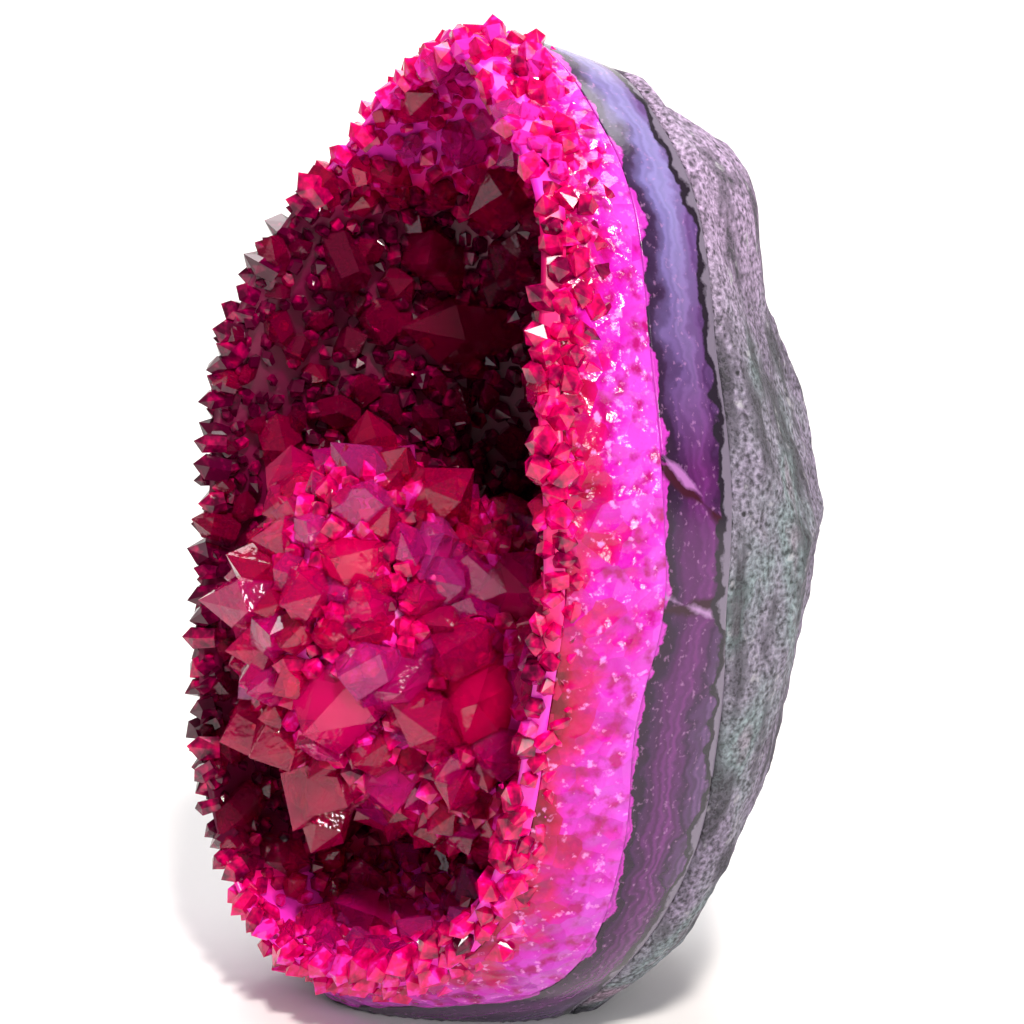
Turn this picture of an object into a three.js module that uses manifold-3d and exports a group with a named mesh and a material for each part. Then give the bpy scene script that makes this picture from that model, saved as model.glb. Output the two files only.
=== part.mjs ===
// Quartz geode, a nodule ground open on one side and stood on a ground flat.
// Millimetres, +Z up, the hollow faces -Y and the base rests on z = 0.
import * as THREE from "three";
import { mergeVertices } from "three/addons/utils/BufferGeometryUtils.js";
import Module from "manifold-3d";

const wasm = await Module();
wasm.setup();

const degree = Math.PI / 180;

// Driving dimensions of the whole stone
const planTurn = 45 * degree; // the half-widths below are taken along axes turned this far from X and Y
const squareness = 2.25; // 2 would make each level an ellipse
const topHeight = 127;
const baseSpare = 0.6; // stone left under the base plane until the base is ground flat
const planeScale = 30; // distance outside a flat face at which a point counts as twice as far out
// height, then half-width to the left, right, near and far side at that height
const levels = [
  [-12, 14, 3, 2, 14],
  [0, 24, 13, 11, 24],
  [8, 30.5, 20.5, 20, 29.5],
  [17, 35.5, 27.5, 26, 33.5],
  [30, 39.5, 33.5, 31, 36.5],
  [45, 40.5, 37, 34, 38],
  [58, 40, 40, 36, 39],
  [68, 39.2, 40.8, 36.5, 38.6],
  [80, 38, 37.5, 36, 37],
  [91, 35, 34.6, 33, 34.5],
  [102, 29, 33.3, 28.5, 31],
  [111, 21, 31.6, 22, 26],
  [118.5, 13.5, 24, 14, 18],
  [124.5, 6, 10, 7, 9],
  [127, 1, 1.5, 1.5, 1.5],
];
const peakShift = 3; // the top leans this far to the left
const peakStart = 100;
const peakRise = 30;

const seat = [0.4, -2.3, 0]; // brings the middle of the finished stone's plan box to the origin

// Flat grinds and broken faces: normal in right, away, up, then a point that the plane goes through
const polishedTop = { normal: [0.46, 0.17, 0.87], point: [15, 0, 121.2] };
const brokenFaces = [
  { normal: [0.75, 0.6, 0.28], point: [31, 20, 90] },
  { normal: [0.9, 0.35, -0.25], point: [36, 12, 42] },
  { normal: [0.35, 0.93, 0.1], point: [14, 35.5, 70] },
  { normal: [0.2, 0.9, -0.4], point: [8, 33, 30] },
  { normal: [-0.45, 0.85, 0.25], point: [-15, 31, 84] },
  { normal: [-0.6, 0.75, -0.3], point: [-20, 28, 36] },
  { normal: [0.3, 0.75, 0.6], point: [8, 24, 108] },
  { normal: [0.65, 0.55, -0.52], point: [23, 22, 20] },
];

// The layers, measured from one point in the hollow
const heart = new THREE.Vector3(0, -4, 62);
const rimStep = 22.5; // the rim angles below start at +X and go up round the opening
// where each layer's edge lies on the outer surface, in degrees from the way the hollow faces
const hollowRim = [58, 60, 66, 79, 86, 84, 72, 65, 62, 60, 62, 64, 66, 67, 62, 58];
const quartzRim = [80.5, 81, 84.5, 91, 95, 95, 88, 83, 80, 80, 80, 77, 75.5, 84, 82, 78.5];
const agateRim = [93, 94.5, 96, 98.5, 103, 102, 97, 95, 93, 93, 94, 95, 95, 93, 96, 96];
const crustRim = hollowRim.map((angle) => angle + 4);
const hollowSheet = { rim: hollowRim, depth: 23, reach: 22 };
const crustSheet = { rim: crustRim, depth: 20.5, reach: 22 };
const quartzSheet = { rim: quartzRim, depth: 16, reach: 22 };
const agateSheet = { rim: agateRim, depth: 9, reach: 22 };
const gap = 0.3; // clearance between neighbouring layers
const rimGap = 0.4; // the same clearance at the rim, in degrees

// The mound of radiating crystals in the lower left of the hollow
const mound = { centre: [-9, -15, 51.5], radii: [15.5, 15, 22] };
const moundFoot = { centre: [-1, -3, 44], radii: [19, 17, 22] };

// How finely the layers are drawn
const turnsRound = 32;
const sheetRows = 6; // rings of points on each sheet between two layers
const rockRows = 10; // rings of points on the outside of the rock
const agateFaceRows = 3; // bands of faces across the polished edge of the agate
const quartzFaceRows = 2;
const evenShare = 0.45; // the rest of each sheet's rings crowd towards its rim

// Crystals, in millimetres, or as shares of a crystal's radius where the name says so
const roomInFront = 10; // how far crystals may stand out past the outer surface
const roomInset = 10 * degree; // how far inside the crust's edge that room is carried forwards
const goldenTurn = 2.39996; // radians between one tried place and the next
const rimClear = 4 * degree; // no crystal is rooted nearer to the rim than this
const sampleTurn = 0.03; // radians between the points that give the wall's slope
const wallPlaces = 900;
const lumpPlaces = 320;
const wallSpacing = 10.6;
const lumpSpacing = 9;
const rootShare = 0.6; // of the crust's thickness under a crystal
const lumpRoot = 2.5;
const lumpSink = 0.96; // crystals are rooted at this share of a lump's radii
const wallMargin = 1; // a crystal of a lump is rooted at least this far off the wall
const leanShare = 0.6;
const radiusShare = { least: 0.48, spread: 0.2 }; // of the spacing
const lengthShare = { least: 1.25, spread: 0.45 }; // of the radius
const pointHeightShare = 1.05; // height of the six-faced point
const leastShoulderShare = 0.1;
const tipShiftShare = 0.15;

const cutBlock = { side: 200, depth: 60 }; // cuts everything off under the base plane
const searchReach = 140; // further out than any point of the stone
const halvings = 30;

// A repeatable value from 0 to 1 for each whole number
function chance(index) {
  const value = Math.sin(index * 12.9898 + 4.1) * 43758.5453;
  return value - Math.floor(value);
}

// Smooth value between the rows of a table, from its first column to the wanted column
function between(rows, x, column) {
  let i = 0;
  while (i < rows.length - 2 && x > rows[i + 1][0]) i += 1;
  const slope = (j) => {
    const a = rows[Math.max(j - 1, 0)];
    const b = rows[Math.min(j + 1, rows.length - 1)];
    return (b[column] - a[column]) / (b[0] - a[0]);
  };
  const width = rows[i + 1][0] - rows[i][0];
  const t = THREE.MathUtils.clamp((x - rows[i][0]) / width, 0, 1);
  const h = 3 * t * t - 2 * t * t * t;
  const start = (t * t * t - 2 * t * t + t) * width * slope(i);
  const end = (t * t * t - t * t) * width * slope(i + 1);
  return rows[i][column] * (1 - h) + rows[i + 1][column] * h + start + end;
}

// Smooth value round the opening, from a list with one angle each rimStep
function aroundRim(list, beta) {
  const place = (((beta / degree / rimStep) % list.length) + list.length) % list.length;
  const i = Math.floor(place);
  const t = place - i;
  const at = (j) => list[(j + list.length) % list.length];
  const [a, b, c, d] = [at(i - 1), at(i), at(i + 1), at(i + 2)];
  const curve = 2 * b + (c - a) * t + (2 * a - 5 * b + 4 * c - d) * t * t;
  return ((curve + (3 * b - a - 3 * c + d) * t * t * t) / 2) * degree;
}

// How far outside the stone a point is: under 1 inside, 1 on its surface
function outsideness(point) {
  const right = (point.x + point.y) * Math.cos(planTurn);
  const away = (point.y - point.x) * Math.sin(planTurn);
  const lean = THREE.MathUtils.clamp((point.z - peakStart) / peakRise, 0, 1);
  const across = right + peakShift * lean * lean;
  const wide = between(levels, point.z, across > 0 ? 2 : 1);
  const deep = between(levels, point.z, away > 0 ? 4 : 3);
  const ratio = Math.abs(across / wide) ** squareness + Math.abs(away / deep) ** squareness;
  let value = Math.max(ratio ** (1 / squareness), 1 - (point.z + baseSpare) / planeScale);
  if (point.z > topHeight) value = 2;
  for (const { normal, point: on } of [polishedTop, ...brokenFaces]) {
    const size = Math.hypot(...normal);
    const out = normal[0] * (right - on[0]) + normal[1] * (away - on[1]) + normal[2] * (point.z - on[2]);
    value = Math.max(value, 1 + out / size / planeScale);
  }
  return value;
}

// Unit direction alpha away from -Y, turned beta round it from +X towards +Z
function direction(alpha, beta) {
  const spread = Math.sin(alpha);
  return new THREE.Vector3(spread * Math.cos(beta), -Math.cos(alpha), spread * Math.sin(beta));
}

// Distance from the heart to the outer surface, by halving
function outerReach(ray) {
  let near = 0;
  let far = searchReach;
  for (let i = 0; i < halvings; i += 1) {
    const middle = (near + far) / 2;
    if (outsideness(heart.clone().addScaledVector(ray, middle)) < 1) near = middle;
    else far = middle;
  }
  return near;
}

// Point on the outer surface
function outerPoint(alpha, beta) {
  const ray = direction(alpha, beta);
  return heart.clone().addScaledVector(ray, outerReach(ray));
}

// Depth of a sheet under the outer surface, growing from nothing at its own rim
function dive(sheet, alpha, beta) {
  const past = (alpha - aroundRim(sheet.rim, beta)) / degree;
  return sheet.depth * (1 - Math.exp(-Math.max(past, 0) / sheet.reach));
}

// Point on a sheet, moved outwards by shift
function sheetPoint(sheet, alpha, beta, shift) {
  const ray = direction(alpha, beta);
  return heart.clone().addScaledVector(ray, outerReach(ray) - dive(sheet, alpha, beta) + shift);
}

// Closed mesh from rings of points, the first and last ring each drawn in to one point.
// From ring turnAt on, the four-sided faces are split along their other diagonal.
function closedMesh(start, rings, end, turnAt = rings.length) {
  const points = [start, ...rings.flat(), end];
  const round = rings[0].length;
  const faces = [];
  for (let j = 0; j < round; j += 1) {
    const next = (j + 1) % round;
    faces.push(0, 1 + next, 1 + j);
    for (let i = 0; i < rings.length - 1; i += 1) {
      const a = 1 + i * round;
      const b = a + round;
      if (i < turnAt) faces.push(a + j, a + next, b + j, a + next, b + next, b + j);
      else faces.push(a + j, a + next, b + next, a + j, b + next, b + j);
    }
    const last = 1 + (rings.length - 1) * round;
    faces.push(points.length - 1, last + j, last + next);
  }
  const geometry = new THREE.BufferGeometry().setFromPoints(points);
  geometry.setIndex(faces);
  return geometry;
}

// Angles from first to last, closer together at the start
function steps(first, last, count) {
  return Array.from({ length: count }, (_, i) => {
    const t = (i + 1) / (count + 1);
    return first + (last - first) * (evenShare * t + (1 - evenShare) * t * t);
  });
}

// One layer: its outer sheet from the back to the rim, its polished edge, and its inner sheet to the back
function layer(inner, outer, faceRows, outerRows = sheetRows) {
  const betas = Array.from({ length: turnsRound }, (_, j) => (j * 2 * Math.PI) / turnsRound);
  const innerShift = inner === hollowSheet ? 0 : gap / 2;
  const innerTrim = inner === hollowSheet ? 0 : (rimGap / 2) * degree;
  const outerSheet = (alpha, beta) =>
    outer ? sheetPoint(outer, alpha, beta, -gap / 2) : outerPoint(alpha, beta);
  const columns = betas.map((beta) => {
    const innerEdge = aroundRim(inner.rim, beta);
    const outerEdge = outer ? aroundRim(outer.rim, beta) : innerEdge;
    const from = innerEdge + innerTrim;
    const to = outer ? outerEdge - (rimGap / 2) * degree : from;
    const outside = steps(outerEdge, Math.PI, outerRows).map((alpha) => outerSheet(alpha, beta));
    const face = Array.from({ length: faceRows + 1 }, (_, i) =>
      outerPoint(to + ((from - to) * i) / faceRows, beta),
    );
    const inside = steps(innerEdge, Math.PI, sheetRows).map((alpha) =>
      sheetPoint(inner, alpha, beta, innerShift),
    );
    return [...outside.reverse(), ...(outer ? face : face.slice(0, 1)), ...inside];
  });
  const rings = columns[0].map((_, i) => columns.map((column) => column[i]));
  return closedMesh(outerSheet(Math.PI, 0), rings, sheetPoint(inner, Math.PI, 0, innerShift), outerRows);
}

// Space that crystals may fill: inside the crust's outer sheet, and open in front of its edge
function crystalRoom() {
  const columns = Array.from({ length: turnsRound }, (_, j) => {
    const beta = (j * 2 * Math.PI) / turnsRound;
    const rim = aroundRim(crustSheet.rim, beta);
    const back = steps(rim, Math.PI, sheetRows).map((alpha) => sheetPoint(crustSheet, alpha, beta, -gap / 2));
    const edge = outerPoint(rim - (rimGap / 2) * degree, beta);
    const front = outerPoint(rim - roomInset, beta).addScaledVector(direction(rim, beta), roomInFront);
    return [...back.reverse(), edge, front];
  });
  const rings = columns[0].map((_, i) => columns.map((column) => column[i]));
  const last = heart.clone().addScaledVector(direction(0, 0), 4 * roomInFront + outerReach(direction(0, 0)));
  return closedMesh(sheetPoint(crustSheet, Math.PI, 0, -gap / 2), rings, last);
}

// A crystal's six-faced point, its underside drawn in to a root sunk below the base point
function crystal(base, axis, radius, length, twist, root) {
  const shoulder = Math.max(length - pointHeightShare * radius, leastShoulderShare * radius);
  const side = new THREE.Vector3(Math.cos(twist), Math.sin(twist), 0.3).cross(axis).normalize();
  const other = axis.clone().cross(side);
  const ring = Array.from({ length: 6 }, (_, i) => {
    const turn = (i * Math.PI) / 3;
    return base
      .clone()
      .addScaledVector(axis, shoulder)
      .addScaledVector(side, radius * Math.cos(turn))
      .addScaledVector(other, radius * Math.sin(turn));
  });
  const bottom = base.clone().addScaledVector(axis, -root);
  const tip = base.clone().addScaledVector(axis, length).addScaledVector(side, tipShiftShare * radius);
  return closedMesh(bottom, [ring], tip);
}

// Places tried on the hollow's wall: a base point, the inward direction and how deep a root may go
function placesOnWall() {
  return Array.from({ length: wallPlaces }, (_, i) => {
    const beta = i * goldenTurn;
    const rim = aroundRim(hollowRim, beta) + rimClear;
    const alpha = Math.acos(Math.cos(rim) - (1 + Math.cos(rim)) * chance(i));
    const base = sheetPoint(hollowSheet, alpha, beta, 0);
    const down = sheetPoint(hollowSheet, alpha + sampleTurn, beta, 0).sub(base);
    const round = sheetPoint(hollowSheet, alpha, beta + sampleTurn, 0).sub(base);
    const cover = dive(hollowSheet, alpha, beta) - dive(crustSheet, alpha, beta);
    const axis = round.cross(down).normalize();
    return { base, axis, root: rootShare * cover, widest: 2 * cover, free: !insideLump(base) };
  });
}

// Places tried on a lump: the same, all over the part of it that is clear of the wall and the other lump
function placesOnLump({ centre, radii }, other) {
  const middle = new THREE.Vector3(...centre);
  const size = new THREE.Vector3(...radii);
  return Array.from({ length: lumpPlaces }, (_, i) => {
    const way = direction(Math.acos(1 - (2 * (i + 0.5)) / lumpPlaces), i * goldenTurn);
    const base = middle.clone().addScaledVector(way.clone().multiply(size), lumpSink);
    const axis = way.clone().divide(size).normalize();
    const free = !insideLump(base, [other]) && insideHollow(base);
    return { base, axis, root: lumpRoot, widest: lumpSpacing, free };
  });
}

// True inside any of the lumps
function insideLump(point, lumps = [mound, moundFoot]) {
  return lumps.some(({ centre, radii }) => {
    const off = point.clone().sub(new THREE.Vector3(...centre)).divide(new THREE.Vector3(...radii));
    return off.length() < 1;
  });
}

// True where a point lies in the hollow, at least a crystal's root off its wall
function insideHollow(point) {
  const ray = point.clone().sub(heart);
  const distance = ray.length();
  ray.normalize();
  const alpha = Math.acos(-ray.y);
  const beta = Math.atan2(ray.z, ray.x);
  return distance < outerReach(ray) - dive(hollowSheet, alpha, beta) - wallMargin;
}

// The free places, kept in turn where they stand clear of those already kept
function spaced(places, spacing) {
  const kept = [];
  for (const place of places) {
    if (!place.free) continue;
    if (kept.every(({ base }) => base.distanceTo(place.base) > spacing)) kept.push(place);
  }
  return kept;
}

// A crystal at each place, leaning a little at random
function crystalsAt(places, spacing, start) {
  return places.map(({ base, axis, root, widest }, i) => {
    const n = start + i;
    const lean = new THREE.Vector3(chance(n) - 0.5, chance(n + 500) - 0.5, chance(n + 900) - 0.5);
    const way = axis.clone().addScaledVector(lean, leanShare).normalize();
    const radius = Math.min(spacing * (radiusShare.least + radiusShare.spread * chance(n + 200)), widest);
    const length = radius * (lengthShare.least + lengthShare.spread * chance(n + 300));
    return crystal(base, way, radius, length, 6 * chance(n + 400), root);
  });
}

// A rounded lump of quartz
function lump({ centre, radii }) {
  const ball = new THREE.IcosahedronGeometry(1, 2);
  ball.scale(...radii);
  ball.translate(...centre);
  return ball;
}

// Manifold solid of a closed geometry
function solid(geometry) {
  const bare = geometry.clone();
  bare.deleteAttribute("normal");
  bare.deleteAttribute("uv");
  const merged = mergeVertices(bare, 1e-4);
  return new wasm.Manifold(
    new wasm.Mesh({
      numProp: 3,
      vertProperties: new Float32Array(merged.attributes.position.array),
      triVerts: new Uint32Array(merged.index.array),
    }),
  );
}

// Geometry of a manifold solid
function geometryOf(body) {
  const mesh = body.getMesh();
  const geometry = new THREE.BufferGeometry();
  geometry.setAttribute("position", new THREE.BufferAttribute(mesh.vertProperties, mesh.numProp));
  geometry.setIndex(new THREE.BufferAttribute(mesh.triVerts, 1));
  const flat = geometry.toNonIndexed();
  flat.computeVertexNormals();
  return flat;
}

// The largest body alone, with any pocket sealed between its crystals filled in
function withoutPockets(body) {
  const shells = body.decompose();
  shells.sort((a, b) => b.volume() - a.volume());
  return shells[0];
}

// Everything under the base plane, as one block to cut away
function belowBase() {
  const block = new THREE.BoxGeometry(cutBlock.side, cutBlock.side, cutBlock.depth);
  block.translate(0, 0, -cutBlock.depth / 2);
  return solid(block);
}

// Rough host rock round the back and sides
function matrixRind() {
  return geometryOf(solid(layer(agateSheet, null, 1, rockRows)).subtract(belowBase()));
}

// Banded chalcedony under the rock
function agateBand() {
  return geometryOf(solid(layer(quartzSheet, agateSheet, agateFaceRows)).subtract(belowBase()));
}

// Massive quartz that lines the agate and shows as the polished pink lip
function quartzLayer() {
  return geometryOf(solid(layer(crustSheet, quartzSheet, quartzFaceRows)));
}

// Every crystal of the hollow and the mound, on the sheet that they grow from
function crystalCrust() {
  const lumpSeeds = [...placesOnLump(mound, moundFoot), ...placesOnLump(moundFoot, mound)];
  const onWall = crystalsAt(spaced(placesOnWall(), wallSpacing), wallSpacing, 0);
  const onLumps = crystalsAt(spaced(lumpSeeds, lumpSpacing), lumpSpacing, 2000);
  const bodies = [lump(mound), lump(moundFoot), ...onWall, ...onLumps].map(solid);
  const sheetBody = solid(layer(hollowSheet, crustSheet, 1));
  const grown = bodies.reduce((whole, body) => whole.add(body), sheetBody);
  const whole = grown.intersect(solid(crystalRoom()));
  return geometryOf(withoutPockets(whole));
}

const rockLook = new THREE.MeshStandardMaterial({ color: 0x77737a, roughness: 0.9, metalness: 0 });
const agateLook = new THREE.MeshStandardMaterial({ color: 0x6a4a8a, roughness: 0.25, metalness: 0 });
const quartzLook = new THREE.MeshStandardMaterial({ color: 0xee3cc4, roughness: 0.2, metalness: 0 });
const crystalLook = new THREE.MeshStandardMaterial({ color: 0xc8104f, roughness: 0.08, metalness: 0 });

const group = new THREE.Group();
group.position.set(...seat);

function addNode(name, geometry, material) {
  const mesh = new THREE.Mesh(geometry, material);
  mesh.name = name;
  group.add(mesh);
}

addNode("matrix_rind", matrixRind(), rockLook);
addNode("agate_band", agateBand(), agateLook);
addNode("quartz_layer", quartzLayer(), quartzLook);
addNode("crystal_crust", crystalCrust(), crystalLook);

export default group;
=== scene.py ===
import bpy
import numpy as np
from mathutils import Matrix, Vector


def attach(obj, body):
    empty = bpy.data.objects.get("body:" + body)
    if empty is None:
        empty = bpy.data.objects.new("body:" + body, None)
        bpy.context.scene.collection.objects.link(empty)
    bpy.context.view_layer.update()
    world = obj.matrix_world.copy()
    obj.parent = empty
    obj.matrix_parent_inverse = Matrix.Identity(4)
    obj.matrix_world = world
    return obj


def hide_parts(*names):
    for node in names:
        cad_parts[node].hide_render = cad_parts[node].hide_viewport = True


# Geode of dyed quartz, ground open on one side and stood on a ground flat: rock, agate and crystals.
# Shapes are worked out in millimetres in the stone's own frame, and become metres when a mesh is made.

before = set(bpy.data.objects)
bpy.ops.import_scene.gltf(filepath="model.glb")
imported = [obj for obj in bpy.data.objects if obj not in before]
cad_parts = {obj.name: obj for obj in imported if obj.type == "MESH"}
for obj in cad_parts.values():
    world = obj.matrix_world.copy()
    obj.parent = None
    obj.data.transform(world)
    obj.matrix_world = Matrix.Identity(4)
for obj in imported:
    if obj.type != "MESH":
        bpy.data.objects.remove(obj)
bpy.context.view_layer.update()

stone = {
    "planTurn": 45.0,  # half-widths are taken along axes turned this far from X and Y, in degrees
    "squareness": 2.25,  # 2 would make each level an ellipse
    "topHeight": 127.0,
    "baseSpare": 0.6,  # stone under the base plane before it is ground flat
    "planeScale": 30.0,  # outsideness grows by 1 over this distance past a flat face
    "peakShift": 3.0,  # the top leans this far to the left
    "peakStart": 100.0,
    "peakRise": 30.0,
    "seat": (0.4, -2.3, 0.0),  # moves the stone's box to the middle of the frame
    "heart": (0.0, -4.0, 62.0),  # every ray starts here
    "farReach": 140.0,  # no ray is longer
    "halvings": 24,
    # height, then half-width to the left, right, near and far side
    "levels": [
        (-12, 14, 3, 2, 14), (0, 24, 13, 11, 24), (8, 30.5, 20.5, 20, 29.5),
        (17, 35.5, 27.5, 26, 33.5), (30, 39.5, 33.5, 31, 36.5), (45, 40.5, 37, 34, 38),
        (58, 40, 40, 36, 39), (68, 39.2, 40.8, 36.5, 38.6), (80, 38, 37.5, 36, 37),
        (91, 35, 34.6, 33, 34.5), (102, 29, 33.3, 28.5, 31), (111, 21, 31.6, 22, 26),
        (118.5, 13.5, 24, 14, 18), (124.5, 6, 10, 7, 9), (127, 1, 1.5, 1.5, 1.5),
    ],
    # flat grinds and broken faces: normal in right, away, up, then a point on the plane
    "faces": [
        ((0.46, 0.17, 0.87), (15, 0, 121.2)), ((0.75, 0.6, 0.28), (31, 20, 90)),
        ((0.9, 0.35, -0.25), (36, 12, 42)), ((0.35, 0.93, 0.1), (14, 35.5, 70)),
        ((0.2, 0.9, -0.4), (8, 33, 30)), ((-0.45, 0.85, 0.25), (-15, 31, 84)),
        ((-0.6, 0.75, -0.3), (-20, 28, 36)), ((0.3, 0.75, 0.6), (8, 24, 108)),
        ((0.65, 0.55, -0.52), (23, 22, 20)),
    ],
}

layers = {
    # where each layer's edge lies on the outer surface, in degrees from the way the hollow faces,
    # every 22.5 degrees from +X up round the opening, and how deep its sheet dives behind the edge
    "rimStep": 22.5,
    "hollow": {
        "rim": (58, 60, 66, 79, 86, 84, 72, 65, 62, 60, 62, 64, 66, 67, 62, 58),
        "depth": 23.0,
    },
    "crust": {
        "rim": (62, 64, 70, 83, 90, 88, 76, 69, 66, 64, 66, 68, 70, 71, 66, 62),
        "depth": 20.5,
    },
    "quartz": {
        "rim": (80.5, 81, 84.5, 91, 95, 95, 88, 83, 80, 80, 80, 77, 75.5, 84, 82, 78.5),
        "depth": 16.0,
    },
    "agate": {
        "rim": (93, 94.5, 96, 98.5, 103, 102, 97, 95, 93, 93, 94, 95, 95, 93, 96, 96),
        "depth": 9.0,
    },
    "reach": 22.0,  # degrees over which a sheet dives
    "gap": 0.06,  # each of two facing skins stands back this far
    "crowd": 0.45,  # 1 would space the rows evenly, less crowds them at the rim
    "hidden": 30.0,  # distance given to points inside the stone, which no edge colour reaches
}

noise = {
    "seed": 11,
    "slopes": 4096,  # a power of two
    "mix": (73856093, 19349663, 83492791),  # primes that scatter the lattice corners over the slopes
    "shift": 17.3,  # moves each octave off the one before
}

heart = np.array(stone["heart"])
noiseSlopes = np.random.default_rng(noise["seed"]).normal(size=(noise["slopes"], 3))
noiseSlopes /= np.linalg.norm(noiseSlopes, axis=1, keepdims=True)


def latticeNoise(points):
    # at each corner of a unit lattice a fixed random slope, the eight blended by 6t^5 - 15t^4 + 10t^3
    cell = np.floor(points).astype(np.int64)
    t = points - cell
    fade = t * t * t * (t * (t * 6 - 15) + 10)
    total = np.zeros(points.shape[:-1])
    for corner in np.ndindex(2, 2, 2):
        mixed = (cell + np.array(corner)) * np.array(noise["mix"])
        key = (mixed[..., 0] ^ mixed[..., 1] ^ mixed[..., 2]) & (noise["slopes"] - 1)
        weight = np.prod(np.where(np.array(corner) == 1, fade, 1 - fade), axis=-1)
        total += weight * (noiseSlopes[key] * (t - np.array(corner))).sum(-1)
    return total


def layeredNoise(points, size, octaves):
    # sum of lattice noises, each half the size and half the strength of the one before
    total = 0
    for k in range(octaves):
        total = total + latticeNoise(points * (2 ** k / size) + noise["shift"] * k) / 2 ** k
    return total


def betweenLevels(height, column):
    # cubic through the rows with the slope at each row taken from its two neighbours
    rows = np.array(stone["levels"], float)
    x, y = rows[:, 0], rows[:, column]
    before, after = np.maximum(np.arange(len(x)) - 1, 0), np.minimum(np.arange(len(x)) + 1, len(x) - 1)
    slope = (y[after] - y[before]) / (x[after] - x[before])
    i = np.clip(np.searchsorted(x, height, side="left") - 1, 0, len(x) - 2)
    width = x[i + 1] - x[i]
    t = np.clip((height - x[i]) / width, 0, 1)
    h = 3 * t * t - 2 * t ** 3
    bend = (t ** 3 - 2 * t * t + t) * slope[i] + (t ** 3 - t * t) * slope[i + 1]
    return y[i] * (1 - h) + y[i + 1] * h + bend * width


def aroundRim(angles, beta):
    # closed cubic through the list, one angle each rimStep, in radians
    values = np.radians(np.array(angles, float))
    n = len(values)
    place = np.mod(np.degrees(beta) / layers["rimStep"], n)
    i = np.floor(place).astype(int)
    t = place - i
    a, b, c, d = values[(i - 1) % n], values[i % n], values[(i + 1) % n], values[(i + 2) % n]
    cubic = (2 * a - 5 * b + 4 * c - d) * t ** 2 + (3 * b - a - 3 * c + d) * t ** 3
    return (2 * b + (c - a) * t + cubic) / 2


def outsideness(points):
    # (|across/wide|^s + |away/deep|^s)^(1/s), cut by the flat faces: under 1 inside the stone
    turn = np.radians(stone["planTurn"])
    right = (points[..., 0] + points[..., 1]) * np.cos(turn)
    away = (points[..., 1] - points[..., 0]) * np.sin(turn)
    z = points[..., 2]
    lean = np.clip((z - stone["peakStart"]) / stone["peakRise"], 0, 1)
    across = right + stone["peakShift"] * lean ** 2
    wide = np.where(across > 0, betweenLevels(z, 2), betweenLevels(z, 1))
    deep = np.where(away > 0, betweenLevels(z, 4), betweenLevels(z, 3))
    s = stone["squareness"]
    value = (np.abs(across / wide) ** s + np.abs(away / deep) ** s) ** (1 / s)
    value = np.maximum(value, 1 - (z + stone["baseSpare"]) / stone["planeScale"])
    value = np.where(z > stone["topHeight"], 2.0, value)  # outside
    for normal, on in stone["faces"]:
        out = normal[0] * (right - on[0]) + normal[1] * (away - on[1]) + normal[2] * (z - on[2])
        value = np.maximum(value, 1 + out / np.linalg.norm(normal) / stone["planeScale"])
    return value


def directionOf(alpha, beta):
    # unit direction alpha away from -Y, turned beta round it from +X towards +Z
    alpha, beta = np.broadcast_arrays(alpha, beta)
    return np.stack([np.sin(alpha) * np.cos(beta), -np.cos(alpha), np.sin(alpha) * np.sin(beta)], -1)


def outerReach(rays):
    # distance from the heart to the outer surface, by halving
    near, far = np.zeros(rays.shape[:-1]), np.full(rays.shape[:-1], stone["farReach"])
    for _ in range(stone["halvings"]):
        middle = (near + far) / 2
        inside = outsideness(heart + rays * middle[..., None]) < 1
        near, far = np.where(inside, middle, near), np.where(inside, far, middle)
    return near


def dive(sheet, alpha, beta):
    # depth (1 - e^(-past/reach)) of a sheet, where past is the angle behind its own rim
    past = np.degrees(alpha - aroundRim(sheet["rim"], beta))
    return sheet["depth"] * (1 - np.exp(-np.maximum(past, 0) / layers["reach"]))


def outerPoints(alpha, beta):
    # heart + ray times the reach along it
    rays = directionOf(alpha, beta)
    return heart + rays * outerReach(rays)[..., None]


def sheetPoints(sheet, alpha, beta, shift=0.0):
    # the outer surface drawn in by the sheet's depth and moved outwards by shift
    rays = directionOf(alpha, beta)
    return heart + rays * (outerReach(rays) - dive(sheet, alpha, beta) + shift)[..., None]


def smoothRise(value, low, high):
    # 3t^2 - 2t^3 from 0 at low to 1 at high
    t = np.clip((value - low) / (high - low), 0, 1)
    return t * t * (3 - 2 * t)


def linkObject(name, data):
    made = bpy.data.objects.new(name, data)
    bpy.context.scene.collection.objects.link(made)
    return made


def placeFacing(made, place, target):
    # moved to a place, and turned so that its -Z points at the target
    made.location = place
    made.rotation_mode = "QUATERNION"
    made.rotation_quaternion = (Vector(target) - Vector(place)).to_track_quat("-Z", "Y")


def meshObject(name, points, faces, smooth, attributes=()):
    # points in stone millimetres, faces as lists of corners, attributes as (name, value for each point)
    mesh = bpy.data.meshes.new(name)
    mesh.from_pydata(((points + np.array(stone["seat"])) * 0.001).tolist(), [], faces)
    mesh.polygons.foreach_set("use_smooth", [smooth] * len(faces))
    for label, values in attributes:
        mesh.attributes.new(label, "FLOAT", "POINT").data.foreach_set("value", values.astype(np.float32))
    mesh.update()
    return linkObject(name, mesh)


def ringFaces(rings, around):
    # four-sided faces between rings of points, and a fan to the point before the first and after the last
    j = np.arange(around)
    after = (j + 1) % around
    start = (1 + np.arange(rings - 1) * around)[:, None]
    quads = np.stack([start + j, start + after, start + around + after, start + around + j], -1)
    last = 1 + (rings - 1) * around
    first = np.stack([np.zeros_like(j), 1 + after, 1 + j], -1)
    end = np.stack([np.full_like(j, 1 + rings * around), last + j, last + after], -1)
    return first.tolist() + quads.reshape(-1, 4).tolist() + end.tolist()


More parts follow.
